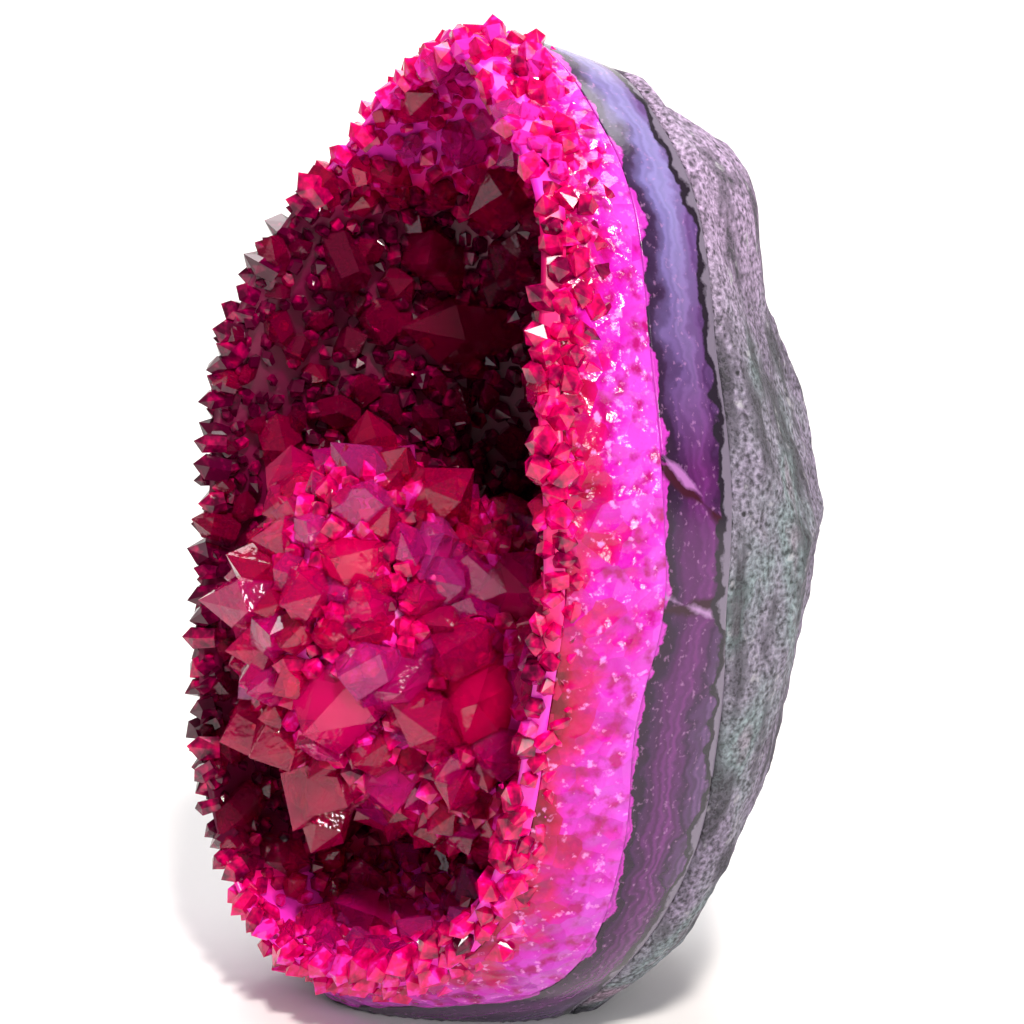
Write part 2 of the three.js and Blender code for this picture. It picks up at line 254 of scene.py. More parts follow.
def rowsFrom(rim, count, crowd):
    # angles from each column's rim to straight back, closer together at the rim by crowd
    t = (np.arange(count) + 1)[:, None] / (count + 1)
    return rim + (np.pi - rim) * (crowd * t + (1 - crowd) * t ** 2)


def groundFlat(points):
    # the base is ground away to the plane z = 0
    points[..., 2] = np.maximum(points[..., 2], 0.0)
    return points


# Rock

rock = {
    "seed": 5,
    "around": 400,
    "rows": 150,
    "crowd": 0.75,
    "insideRows": 16,
    "chips": 90,  # broken facets
    "chipBack": (96, 180),  # degrees from the front within which they lie
    "chipCut": (0.2, 1.9),  # how deep a facet cuts
    "chipTilt": 0.07,  # spread of a facet's way from the surface's own
    "chipStep": 1.5,  # the surface's way is measured this far to each side
    "chipDeepest": 3.0,
    "chipFacing": 0.2,  # rays that run flatter than this to a facet don't meet it
    "spare": 1.9,  # the roughness is cut from a skin that stands out this far
    "lumpSize": 13.0,
    "lumpDepth": 1.0,
    "grainSize": 2.4,
    "grainDepth": 0.3,
    "grainShift": 40,  # so that grain and lumps don't share their noise
    "rimFade": 2.5,  # degrees over which the roughness grows behind the polished edge
}


def chipReach(rays, reach, rng):
    # distance to the nearest of many planes, each laid across one ray a little under the surface
    alpha = np.radians(rng.uniform(*rock["chipBack"], rock["chips"]))
    beta = rng.uniform(0, 2 * np.pi, rock["chips"])
    way = directionOf(alpha, beta)
    depth = outerReach(way) - rng.uniform(*rock["chipCut"], rock["chips"])
    around = heart + way * (outerReach(way) - 1)[:, None]
    steps = rock["chipStep"] * np.eye(3)
    slope = np.stack([outsideness(around + step) - outsideness(around - step) for step in steps], -1)
    normal = slope / np.linalg.norm(slope, axis=1, keepdims=True)
    normal += rng.normal(0, rock["chipTilt"], normal.shape)
    normal /= np.linalg.norm(normal, axis=1, keepdims=True)
    result, flattest = reach.copy(), rock["chipFacing"]
    for n, w, d in zip(normal, way, depth):
        facing = rays @ n
        plane = np.where(facing > flattest, d * (w @ n) / np.maximum(facing, flattest), np.inf)
        result = np.minimum(result, np.maximum(plane, reach - rock["chipDeepest"]))
    return result


def makeRock():
    # outer skin: the stone's surface, chipped flat in places, then roughened; inner skin: the agate's sheet
    rng = np.random.default_rng(rock["seed"])
    beta = np.arange(rock["around"]) * 2 * np.pi / rock["around"]
    rim = aroundRim(layers["agate"]["rim"], beta)
    alpha = rowsFrom(rim, rock["rows"], rock["crowd"])
    rays = directionOf(alpha, beta)
    reach = outerReach(rays)
    chipped = chipReach(rays, reach, rng)
    points = heart + rays * reach[..., None]
    fade = 1 - np.exp(-np.degrees(alpha - rim) / rock["rimFade"])
    lumps = np.abs(layeredNoise(points, rock["lumpSize"], 3)) * rock["lumpDepth"]
    grain = (layeredNoise(points + rock["grainShift"], rock["grainSize"], 2) + 0.5) * rock["grainDepth"]
    cut = (reach - chipped + lumps + np.maximum(grain, 0) - rock["spare"]) * fade
    outer = heart + rays * (reach - cut)[..., None]
    edge = outerPoints(rim, beta)
    insideRows = rowsFrom(rim, rock["insideRows"], layers["crowd"])
    inner = sheetPoints(layers["agate"], insideRows, beta, layers["gap"])
    rings = groundFlat(np.concatenate([outer[::-1], edge[None], inner]))
    points = np.concatenate([outer[-1].mean(0)[None], rings.reshape(-1, 3), inner[-1].mean(0)[None]])
    return meshObject("matrixRock", points, ringFaces(len(rings), rock["around"]), True)


# Agate

agate = {
    "around": 400,
    "faceRows": 26,
    "sheetRows": 14,
    "ripple": 0.05,  # the polish follows the bands a little
    "rippleSize": 6.0,
}


def layerPiece(name, inner, outer, sizes, relief):
    # outer sheet from the back to the rim, the polished edge between two rims, inner sheet to the back;
    # the edge is cut by the relief, which fades out by 12t(1 - t) at both rims
    around, faceRows, sheetRows = sizes["around"], sizes["faceRows"], sizes["sheetRows"]
    beta = np.arange(around) * 2 * np.pi / around
    rimIn, rimOut = aroundRim(inner["rim"], beta), aroundRim(outer["rim"], beta)
    back = sheetPoints(outer, rowsFrom(rimOut, sheetRows, layers["crowd"]), beta, -layers["gap"])[::-1]
    share = np.linspace(1, 0, faceRows + 1)[:, None]
    alpha = rimIn + (rimOut - rimIn) * share
    face = outerPoints(alpha, beta)
    fade = np.clip(12 * share * (1 - share), 0, 1)
    face = face - directionOf(alpha, beta) * (relief(face) * fade)[..., None]
    inside = sheetPoints(inner, rowsFrom(rimIn, sheetRows, layers["crowd"]), beta, layers["gap"])
    rings = groundFlat(np.concatenate([back, face, inside]))
    points = np.concatenate([back[0].mean(0)[None], rings.reshape(-1, 3), inside[-1].mean(0)[None]])
    fromInner = np.linalg.norm(rings - face[-1], axis=-1)
    fromOuter = np.linalg.norm(rings - face[0], axis=-1)
    fromInner[:sheetRows] = layers["hidden"]
    fromOuter[-sheetRows:] = layers["hidden"]
    return meshObject(name, points, ringFaces(len(rings), around), True, [
        ("fromInner", np.concatenate([[layers["hidden"]], fromInner.ravel(), [0]])),
        ("fromOuter", np.concatenate([[0], fromOuter.ravel(), [layers["hidden"]]])),
    ])


def makeAgate():
    # its polished edge sinks by (noise + 1/2) times the ripple
    return layerPiece("agateBand", layers["quartz"], layers["agate"], agate,
                      lambda p: agate["ripple"] * (layeredNoise(p, agate["rippleSize"], 2) + 0.5))


# Quartz layer with its polished pink lip

lip = {
    "around": 400,
    "faceRows": 40,
    "sheetRows": 10,
    "wave": 0.35,
    "waveSize": 7.0,
}


def makeLip():
    # its polished edge sinks by |noise| times the wave
    return layerPiece("quartzLayer", layers["crust"], layers["quartz"], lip,
                      lambda p: lip["wave"] * np.abs(layeredNoise(p, lip["waveSize"], 3)))


# Crystals and the sheet that they grow from

crust = {
    "around": 220,
    "hollowRows": 70,
    "hollowCrowd": 0.7,
    "edgeRows": 5,
    "sheetRows": 8,
    "wave": 0.5,
    "waveSize": 9.0,
    "waveFade": 6.0,  # degrees behind the rim over which the waves grow
    "setBack": 0.7,  # the bed lies this far behind the places where crystals stand
    "setFade": 2.0,  # degrees behind the rim over which it sinks there
}

mound = {
    # the lump of radiating crystals in the lower left of the hollow, and its foot on the back wall
    "lumps": np.array([((-9, -15, 51.5), (15.5, 15, 22)), ((-1, -3, 44), (19, 17, 22))]),
    "around": 90,
    "rows": 60,
    "wave": 0.5,
    "waveSize": 8.0,
    "setBack": 0.6,
}

crystalSizes = {
    "seed": 23,
    # spacing between places, smallest and largest radius
    "wall": [(8.6, 2.9, 4.4), (4.4, 1.8, 2.8), (1.95, 1.0, 1.6)],
    "lump": [(7.0, 3.0, 4.4), (4.2, 2.0, 3.0), (2.1, 1.1, 1.8)],
    "smallUnder": 2.5,  # tiers set closer than this are the small milky ones
    "length": (0.95, 1.7),  # of the radius, above the place where it stands
    "lean": 0.33,  # spread of the leaning, as a share of the axis
    "taper": 0.86,  # root width over shoulder width
    "pointHeight": 1.05,  # of the radius
    "rootDepth": 1.3,  # of the radius
    "stretch": (0.8, 1.2),  # of the radius, one way across and the other
    "threeAndThree": 0.16,  # faces start by turns higher and lower by this share of the radius
    "uneven": 0.15,  # spread of the faces' starts, as a share of the radius
    "tipShift": 0.25,  # spread of the tip's place, as a share of the radius
    "wallTries": 180000,  # places tried, over the square of the spacing
    "lumpTries": 40000,
    "rimTries": 1500,  # the same for each degree behind the rim
    "bigRoom": 0.8,  # no other crystal stands nearer to a listed big one than this share of its radius
    "rimShrink": 0.45,  # crystals by the rim are smaller by this share
    "rimShrinkFade": 9.0,  # degrees
    "rimLean": 1.1,  # and lean outwards
    "rimLeanFade": 5.0,  # degrees
    "rimStart": 0.8,  # degrees behind the rim where the wall's crystals begin
    "farShare": 0.97,  # quantile of the distance squared from which a place is always kept
    "lumpMargin": 1.0,  # crystals of a lump keep this far from the wall, and may stand this deep in the other
    "twistRise": 0.3,  # keeps a crystal's first side from being flat in plan
    "lowest": 0.15,  # no corner hangs under this height
}

# painted light and shade: crystals and bed are painted darker on the far wall of the hollow, where shade
# falls, and brighter on the mound, right rim, top and foot, where light falls; spread is a random tone from
# crystal to crystal
paintedLightAndTone = {
    "least": 0.12,  # tone of the darkest place, and how much brighter the brightest is
    "range": 0.6,
    "spread": 0.13,  # from crystal to crystal
    "mound": 0.8,  # how bright the mound is, with 1 the brightest
    "moundMargin": 2.0,  # crystals this far outside the lumps count as theirs
    "rightRim": (0.6, 10, 34),  # how bright, and between which values of x it rises
    "top": (100, 114),  # heights between which it rises
    "foot": (24, 10),
    "lowRight": (0.75, 2, 12, 66, 54),  # how bright, between which values of x, and between which heights
}

crest = {
    # sine and cosine between which the rim's rows grow wider at the upper right, and by how much
    "up": (0.45, 0.8),
    "right": (-0.4, 0.1),
    "wider": 0.9,
}

rimCrystals = [
    # degrees behind the rim from and to, spacing, radius from and to, height from and to, lean to the front
    (-0.6, 3.6, 2.1, 1.1, 2.0, 1.3, 2.8, 0.9),
    (2.8, 7.0, 2.0, 1.4, 2.4, 0.2, 0.9, 0.6),
]

bigCrystals = [
    # place, way it points, radius and height of the crystals that a viewer would know again
    ((-13.5, -28, 57.2), (-0.55, -0.87, 0.1), 4.6, 8.5),
    ((-18, -18.5, 67), (-0.06, -0.16, 1.04), 3.5, 8),
    ((-11.7, -10.7, 72), (-0.16, -0.12, 1.01), 3.3, 7.5),
    ((-5.3, -13.5, 72.4), (0.6, -0.28, 1), 2.9, 5),
    ((11.6, -15.5, 46.8), (0.62, -0.77, 0.1), 6.3, 5.6),
    ((-1.9, -27.4, 45.8), (0.1, -0.9, -0.2), 6, 6.4),
    ((4.5, -21.6, 49), (0.75, -0.55, 0.05), 4.6, 5.4),
    ((-11.5, -28.4, 52), (-0.4, -1.02, -0.1), 3.6, 6.4),
    ((-16, -25.2, 40.6), (-0.29, -0.85, -0.37), 4.2, 8),
    ((-10, -22.4, 33.2), (0.21, -0.71, -0.57), 4.8, 8),
    ((-9, -21, 31.5), (0.14, -0.56, -0.8), 3.2, 9),
    ((-0.4, -19, 34.6), (0.6, -0.6, -0.6), 5, 6),
    ((3.3, -15.6, 64.5), (0.85, -0.3, 0.5), 4.2, 4.6),
    ((-1.2, -24.4, 63.6), (0.4, -0.8, 0.45), 4.6, 5),
    ((6.1, -16.6, 56.1), (0.9, -0.45, 0.15), 4.2, 4.6),
    ((-13.8, -27.4, 60.5), (-0.4, -0.75, 0.5), 3.8, 6),
    ((-16.9, 9, 86.9), (-0.22, -0.92, 0.11), 5.4, 9),
    ((-6.8, 14, 93.1), (0.35, -0.9, -0.1), 2.7, 3.4),
    ((-9.7, 8, 107.2), (0.4, -0.8, -0.4), 2.5, 3.4),
    ((11.4, -8.1, 59.3), (0.75, -0.5, 0.4), 5.4, 5.2),
    ((26, -17, 51.7), (0.15, -0.95, -0.1), 5, 5),
    ((-12.2, -12.8, 10.6), (-0.1, -0.8, 0.55), 4.4, 7),
    ((8, -19, 12), (0.2, -0.9, 0.1), 4, 5),
    ((-18.7, 5.3, 97.8), (0.6, -0.75, -0.2), 3.8, 6),
    ((7.5, -7.7, 25.3), (0.5, -0.8, -0.2), 4.6, 6),
]


def makeCrustSheet():
    # the wavy wall of the hollow and a thin edge at the rim
    beta = np.arange(crust["around"]) * 2 * np.pi / crust["around"]
    rimIn, rimOut = aroundRim(layers["hollow"]["rim"], beta), aroundRim(layers["crust"]["rim"], beta)
    backRows = rowsFrom(rimOut, crust["sheetRows"], layers["crowd"])
    back = sheetPoints(layers["crust"], backRows, beta, -layers["gap"])[::-1]
    edge = outerPoints(rimIn + (rimOut - rimIn) * np.linspace(1, 0, crust["edgeRows"])[:, None], beta)
    alpha = rowsFrom(rimIn, crust["hollowRows"], crust["hollowCrowd"])
    past = np.degrees(alpha - rimIn)
    wall = sheetPoints(layers["hollow"], alpha, beta)
    wave = crust["wave"] * layeredNoise(wall, crust["waveSize"], 3) * (1 - np.exp(-past / crust["waveFade"]))
    sink = crust["setBack"] * (1 - np.exp(-past / crust["setFade"]))
    wall = wall + directionOf(alpha, beta) * (wave + sink)[..., None]
    rings = np.concatenate([back, edge, wall])
    points = np.concatenate([back[0].mean(0)[None], rings.reshape(-1, 3), wall[-1].mean(0)[None]])
    return points, ringFaces(len(rings), crust["around"])


def makeLump(centre, radii):
    # an ellipsoid with its skin moved in and out by noise
    beta = np.arange(mound["around"]) * 2 * np.pi / mound["around"]
    alpha = (np.arange(mound["rows"]) + 1)[:, None] / (mound["rows"] + 1) * np.pi
    way = directionOf(alpha, -beta)
    points = centre + way * (radii - mound["setBack"])
    points = points + way * (mound["wave"] * layeredNoise(points, mound["waveSize"], 2))[..., None]
    ends = centre + np.array([[0, -1.0, 0], [0, 1.0, 0]]) * radii
    points = np.concatenate([ends[:1], points.reshape(-1, 3), ends[1:]])
    return points, ringFaces(mound["rows"], mound["around"])


def insideLumps(points, which=(0, 1), margin=0.0):
    # |(point - centre) / (radii - margin)| < 1 for either lump
    inside = np.zeros(len(points), bool)
    for k in which:
        centre, radii = mound["lumps"][k]
        inside |= np.linalg.norm((points - centre) / (radii - margin), axis=1) < 1
    return inside


def keepApart(points, spacing):
    # takes places in turn and keeps those that stand clear of the kept ones
    kept = []
    taken = np.full((len(points), 3), np.inf)
    for i, p in enumerate(points):
        if ((taken[:len(kept) + 1] - p) ** 2).sum(1).min() > spacing ** 2:
            taken[len(kept)] = p
            kept.append(i)
    return np.array(kept)


def sheetNormals(sheet, alpha, beta):
    # cross product of the sheet's two slopes, towards the open side
    step = 0.03  # radians
    place = sheetPoints(sheet, alpha, beta)
    across = sheetPoints(sheet, alpha, beta + step) - place
    normal = np.cross(across, sheetPoints(sheet, alpha + step, beta) - place)
    return place, normal / np.linalg.norm(normal, axis=1, keepdims=True)


def wallPlaces(count, rng):
    # places on the hollow's wall, even by area (a far place is kept more often, by its distance squared),
    # with the way each crystal points
    beta = rng.uniform(0, 2 * np.pi, count)
    rim = aroundRim(layers["hollow"]["rim"], beta) + np.radians(crystalSizes["rimStart"])
    alpha = np.arccos(np.cos(rim) - (1 + np.cos(rim)) * rng.uniform(0, 1, count))
    place, normal = sheetNormals(layers["hollow"], alpha, beta)
    size = ((place - heart) ** 2).sum(1)
    keep = rng.uniform(0, 1, count) < size / np.quantile(size, crystalSizes["farShare"])
    past = np.degrees(alpha - rim)
    lean = crystalSizes["rimLean"] * np.exp(-past / crystalSizes["rimLeanFade"])
    normal += directionOf(alpha, beta) * lean[:, None]
    free = keep & ~insideLumps(place)
    return place[free], normal[free], past[free]


def lumpPlaces(k, count, rng):
    # places all over one lump that lie in the hollow and outside the other lump
    margin = crystalSizes["lumpMargin"]
    centre, radii = mound["lumps"][k]
    way = rng.normal(size=(count, 3))
    way /= np.linalg.norm(way, axis=1, keepdims=True)
    place = centre + way * radii
    ray = place - heart
    distance = np.linalg.norm(ray, axis=1)
    ray /= distance[:, None]
    alpha, beta = np.arccos(-ray[:, 1]), np.arctan2(ray[:, 2], ray[:, 0])
    room = outerReach(ray) - dive(layers["hollow"], alpha, beta)
    free = (distance < room - margin) & ~insideLumps(place, (1 - k,), margin)
    normal = way / radii
    return place[free], (normal / np.linalg.norm(normal, axis=1, keepdims=True))[free]


def rimPlaces(first, last, count, front, rng):
    # places on the outer surface behind the rim, pointing out of the stone and leaning to the front
    beta = rng.uniform(0, 2 * np.pi, count)
    share = rng.uniform(0, 1, count)
    onCrest = smoothRise(np.sin(beta), *crest["up"]) * smoothRise(np.cos(beta), *crest["right"])
    past = first + (last - first) * share * (1 + crest["wider"] * onCrest)
    alpha = aroundRim(layers["hollow"]["rim"], beta) + np.radians(past)
    place = outerPoints(alpha, beta)
    return place, directionOf(alpha, beta) + np.array([0, -front, 0])


def crystalPoints(place, axis, radius, length, rng):
    # root point, root ring, shoulder ring and tip: six sides and a point with unequal faces
    n, sizes = len(place), crystalSizes
    axis = axis / np.linalg.norm(axis, axis=1, keepdims=True)
    twist = rng.uniform(0, 2 * np.pi, n)
    side = np.cross(np.stack([np.cos(twist), np.sin(twist), np.full(n, sizes["twistRise"])], 1), axis)
    side /= np.linalg.norm(side, axis=1, keepdims=True)
    other = np.cross(axis, side)
    turn = np.arange(6) * np.pi / 3
    stretch = rng.uniform(*sizes["stretch"], (n, 1))
    across = side[:, None] * np.cos(turn)[None, :, None] * stretch[..., None]
    across = across + other[:, None] * np.sin(turn)[None, :, None] / stretch[..., None]
    shoulder = (length - sizes["pointHeight"] * radius)[:, None]
    every = np.where(np.arange(6) % 2 == 0, 1, -1) * sizes["threeAndThree"]
    shoulder = shoulder + radius[:, None] * (rng.uniform(-sizes["uneven"], sizes["uneven"], (n, 6)) + every)
    root = place - axis * (sizes["rootDepth"] * radius)[:, None]
    rootRing = root[:, None] + across * (radius * sizes["taper"])[:, None, None]
    topRing = place[:, None] + axis[:, None] * shoulder[..., None] + across * radius[:, None, None]
    off = rng.uniform(-sizes["tipShift"], sizes["tipShift"], (n, 2)) * radius[:, None]
    tip = place + axis * length[:, None] + side * off[:, :1] + other * off[:, 1:]
    return np.concatenate([root[:, None], rootRing, topRing, tip[:, None]], 1)


def paintedLightAt(points, onLump):
    # painted light and shade: how bright a place is painted, the largest of five rises where light falls:
    # right rim, low right, top, foot and mound; what is left, the far wall of the hollow, is painted dark
    # maroon as shade
    x, z = points[:, 0], points[:, 2]
    strength, start, end = paintedLightAndTone["rightRim"]
    rightRim = strength * smoothRise(x, start, end)
    strength, start, end, high, low = paintedLightAndTone["lowRight"]
    lowRight = strength * smoothRise(x, start, end) * smoothRise(z, high, low)
    bright = np.maximum.reduce([rightRim, lowRight, smoothRise(z, *paintedLightAndTone["top"]), smoothRise(z, *paintedLightAndTone["foot"])])
    return np.where(onLump, np.maximum(paintedLightAndTone["mound"], bright), bright)


def makeCrystals():
    # the clear crystals in one mesh and the small milky ones that fill between them in another
    rng = np.random.default_rng(crystalSizes["seed"])
    big = [np.array(values, float) for values in zip(*bigCrystals)]
    clearOnes, milkyOnes = [(big[0], big[1], big[2], big[3])], []

    def addGroup(place, axis, spacing, low, high, shrink=0.0, rise=None):
        room = crystalSizes["bigRoom"] * big[2]
        clear = (np.linalg.norm(place[:, None] - big[0][None], axis=2) > room[None]).all(1)
        place, axis = place[clear], axis[clear]
        kept = keepApart(place, spacing)
        radius = rng.uniform(low, high, len(kept))
        if not np.isscalar(shrink):
            radius *= 1 - shrink[clear][kept]
        lean = axis[kept] + rng.normal(0, crystalSizes["lean"], (len(kept), 3))
        length = radius * rng.uniform(*crystalSizes["length"], len(kept))
        if rise is not None:
            length = rng.uniform(*rise, len(kept))
        groups = milkyOnes if spacing < crystalSizes["smallUnder"] else clearOnes
        groups.append((place[kept], lean, radius, length))

    for spacing, low, high in crystalSizes["wall"]:
        place, axis, past = wallPlaces(int(crystalSizes["wallTries"] / spacing ** 2), rng)
        shrink = crystalSizes["rimShrink"] * np.exp(-past / crystalSizes["rimShrinkFade"])
        addGroup(place, axis, spacing, low, high, shrink)
    for spacing, low, high in crystalSizes["lump"]:
        for k in range(2):
            place, axis = lumpPlaces(k, int(crystalSizes["lumpTries"] / spacing ** 2), rng)
            addGroup(place, axis, spacing, low, high)
    for first, last, spacing, low, high, riseLow, riseHigh, front in rimCrystals:
        count = int(crystalSizes["rimTries"] * (last - first) / spacing ** 2)
        place, axis = rimPlaces(first, last, count, front, rng)
        addGroup(place, axis, spacing, low, high, 0.0, (riseLow, riseHigh))

    made = []
    for name, groups in (("clearCrystals", clearOnes), ("milkyCrystals", milkyOnes)):
        place, axis, radius, length = (np.concatenate([g[k] for g in groups]) for k in range(4))
        points = crystalPoints(place, axis, radius, length, rng)
        points[..., 2] = np.maximum(points[..., 2], crystalSizes["lowest"])
        # brightness painted by place as light and shade, then a random spread of tone from crystal to crystal
        bright = paintedLightAndTone["least"] + paintedLightAndTone["range"] * paintedLightAt(place, insideLumps(place, margin=-paintedLightAndTone["moundMargin"]))
        corners = points.shape[1]
        tone = np.repeat(np.clip(bright + rng.normal(0, paintedLightAndTone["spread"], len(radius)), 0, 1), corners)
        one, starts = ringFaces(2, 6), range(0, corners * len(radius), corners)
        faces = [[corner + start for corner in face] for start in starts for face in one]
        made.append(meshObject(name, points.reshape(-1, 3), faces, False, [("tone", tone)]))
        print(name, len(radius))
    return made


def makeCrust():
    # the wall sheet and both lumps in one mesh, toned by painted light and shade by place
    parts = [makeCrustSheet()] + [makeLump(*lump) for lump in mound["lumps"]]
    faces, start = [], 0
    for points, own in parts:
        faces += [[corner + start for corner in face] for face in own]
        start += len(points)
    points = np.concatenate([p for p, _ in parts])
    onLump = np.arange(len(points)) >= len(parts[0][0])
    return meshObject("crystalSheet", points, faces, True, [("tone", paintedLightAt(points, onLump))])


# Materials

mixFactor, mixUnder, mixOver = 0, 6, 7  # inputs of a Mix node that blends colours


def linearColour(code):
    # sRGB hex to linear: c/12.92 under 0.04045, else ((c + 0.055)/1.055)^2.4
    value = np.array([int(code[i:i + 2], 16) for i in (1, 3, 5)]) / 255
    linear = np.where(value <= 0.04045, value / 12.92, ((value + 0.055) / 1.055) ** 2.4)
    return (*linear.tolist(), 1.0)


def scaleFor(size):
    # Object coordinates are in metres, so a pattern of this size in millimetres repeats 1000 / size times
    return 1000.0 / size


def addNode(tree, kind, inputs=(), **settings):
    # adds a node, sets its properties, and fills or links its inputs, by name or in the node's own order:
    # a MapRange takes a value, the two ends of its span, and what they become, or 0 and 1;
    # a node given as an input stands for its first open output
    node = tree.nodes.new("ShaderNode" + kind)
    for name, value in settings.items():
        setattr(node, name, value)
    for name, value in inputs.items() if isinstance(inputs, dict) else enumerate(inputs):
        if isinstance(value, bpy.types.Node):
            value = next(socket for socket in value.outputs if socket.enabled)
        if isinstance(value, bpy.types.NodeSocket):
            tree.links.new(value, node.inputs[name])
        else:
            node.inputs[name].default_value = value
    return node


def startMaterial(name):
    material = bpy.data.materials.new(name)
    material.use_nodes = True
    material.node_tree.nodes.clear()
    return material, material.node_tree


def finishMaterial(material, inputs, body=None):
    # the surface shader with its inputs, and what fills the body where it is clear
    tree = material.node_tree
    ends = {"Surface": addNode(tree, "BsdfPrincipled", inputs)}
    if body:
        ends["Volume"] = body
    addNode(tree, "OutputMaterial", ends)
    return material


def paintStops(node, stops):
    # places the colour stops of a ramp: (position, hex)
    ramp = node.color_ramp
    while len(ramp.elements) < len(stops):
        ramp.elements.new(1.0)
    for element, (position, code) in zip(ramp.elements, stops):
        element.position = position
        element.color = linearColour(code)
    return node


def paintOver(tree, colour, coats):
    # lays colours over one another, each through its mask
    for mask, code in coats:
        inputs = {mixFactor: mask, mixUnder: colour, mixOver: linearColour(code)}
        colour = addNode(tree, "Mix", inputs, data_type="RGBA")
    return colour


def objectPlace(tree, stretch=(1.0, 1.0, 1.0)):
    # the surface point in metres, scaled along each axis
    place = addNode(tree, "TexCoord").outputs["Object"]
    return addNode(tree, "Mapping", {"Vector": place, "Scale": stretch})


def crystalMaterial():
    # clear dyed quartz: thin edges stay pink, deep ones go crimson to maroon; the colour follows the tone,
    # which is painted light and shade by place, dark on the shaded far wall
    material, tree = startMaterial("dyedClearQuartz")
    tone = addNode(tree, "Attribute", attribute_name="tone").outputs["Fac"]
    colours = paintStops(addNode(tree, "ValToRGB", {"Fac": tone}), [
        (0.05, "#A00048"), (0.3, "#D80058"), (0.55, "#FF0070"), (0.75, "#FF10A4"), (0.98, "#FF50D0"),
    ])
    # growth lines and healed cracks stand a millimetre or two apart
    lines = addNode(tree, "TexNoise", {"Vector": objectPlace(tree), "Scale": scaleFor(1.43), "Detail": 2.0})
    bump = addNode(tree, "Bump", {"Height": lines, "Strength": 0.2, "Distance": 0.0004})
    # the dye lets red and some blue through
    body = addNode(tree, "VolumeAbsorption", {"Color": (0.98, 0.02, 0.78, 1.0), "Density": 80.0})
    return finishMaterial(material, {
        "Base Color": colours, "Roughness": 0.06, "IOR": 1.544, "Transmission Weight": 0.76,
        "Specular IOR Level": 0.28, "Normal": bump,
    }, body)


def milkyMaterial():
    # cloudy dyed quartz: the small points hold their colour like enamel; their tone carries painted light and
    # shade by place
    material, tree = startMaterial("cloudyDyedQuartz")
    tone = addNode(tree, "Attribute", attribute_name="tone").outputs["Fac"]
    clouds = addNode(tree, "TexNoise", {"Vector": objectPlace(tree), "Scale": scaleFor(1.43), "Detail": 2.0})
    cloudTone = addNode(tree, "MapRange", (clouds, 0.3, 0.7, -0.15, 0.4))
    whole = addNode(tree, "Math", (cloudTone, tone), operation="ADD")
    colours = paintStops(addNode(tree, "ValToRGB", {"Fac": whole}), [
        (0.2, "#4A0024"), (0.4, "#80003C"), (0.7, "#D80058"), (0.9, "#EC0480"), (1.0, "#F42CB4"),
    ])
    return finishMaterial(material, {
        "Base Color": colours, "Roughness": 0.09, "IOR": 1.54, "Specular IOR Level": 0.45,
    })


def crustMaterial():
    # the milky bed under the points, crimson in clouds of 9 mm, over a tone of painted light and shade by
    # place
    material, tree = startMaterial("milkyDyedQuartz")
    tone = addNode(tree, "Attribute", attribute_name="tone").outputs["Fac"]
    clouds = addNode(tree, "TexNoise", {"Vector": objectPlace(tree), "Scale": scaleFor(9.09), "Detail": 3.0})
    whole = addNode(tree, "Math", (clouds, 0.5, tone), operation="MULTIPLY_ADD")
    colours = paintStops(addNode(tree, "ValToRGB", {"Fac": whole}), [
        (0.2, "#600030"), (0.4, "#8C0048"), (0.75, "#FF0078"), (1.0, "#FF30CC"),
    ])
    return finishMaterial(material, {"Base Color": colours, "Roughness": 0.3, "IOR": 1.54})


def lipMaterial():
    # polished quartz cut across its columns: crimson by the hollow, orchid pink by the agate, pale flecks
    material, tree = startMaterial("polishedPinkQuartz")
    place = objectPlace(tree)
    inner = addNode(tree, "Attribute", attribute_name="fromInner").outputs["Fac"]
    outer = addNode(tree, "Attribute", attribute_name="fromOuter").outputs["Fac"]
    whole = addNode(tree, "Math", (inner, outer), operation="ADD")
    share = addNode(tree, "Math", (inner, whole), operation="DIVIDE")
    columns = addNode(tree, "TexVoronoi", {"Vector": place, "Scale": scaleFor(3.03)})
    cloud = addNode(tree, "TexNoise", {"Vector": place, "Scale": scaleFor(5.555), "Detail": 5.0})
    tones = addNode(tree, "SeparateColor", {"Color": columns.outputs["Color"]})
    # the way across the lip, 0.3 times the column's tone and 1.5 times the cloud, brought to 0 to 1
    tinted = addNode(tree, "Math", (tones, 0.3, share), operation="MULTIPLY_ADD")
    drift = addNode(tree, "Math", (cloud, 1.5, tinted), operation="MULTIPLY_ADD")
    shifted = addNode(tree, "Math", (drift, 0.62, -0.21), operation="MULTIPLY_ADD")
    colours = paintStops(addNode(tree, "ValToRGB", {"Fac": shifted}), [
        (0.26, "#70001C"), (0.38, "#B00040"), (0.52, "#CC0468"), (0.68, "#CC14AC"), (0.92, "#D444CC"),
    ])
    # red spots where a column ends deep in the stone, and pale flecks of about 1 mm
    spots = addNode(tree, "TexNoise", {"Vector": place, "Scale": scaleFor(2.38), "Detail": 3.0})
    deep = addNode(tree, "MapRange", (spots, 0.49, 0.34, 0.0, 0.9))
    flecks = addNode(tree, "TexNoise", {"Vector": place, "Scale": scaleFor(1.25), "Detail": 4.0})
    pale = addNode(tree, "MapRange", (flecks, 0.6, 0.7, 0.0, 0.7))
    colour = paintOver(tree, colours, [(deep, "#A80060"), (pale, "#FF9CEC")])
    height = addNode(tree, "Math", (cloud, columns), operation="ADD")
    bump = addNode(tree, "Bump", {"Height": height, "Strength": 0.9, "Distance": 0.0011})
    return finishMaterial(material, {
        "Base Color": colour, "Roughness": 0.16, "IOR": 1.54, "Normal": bump, "Specular IOR Level": 0.35,
    })


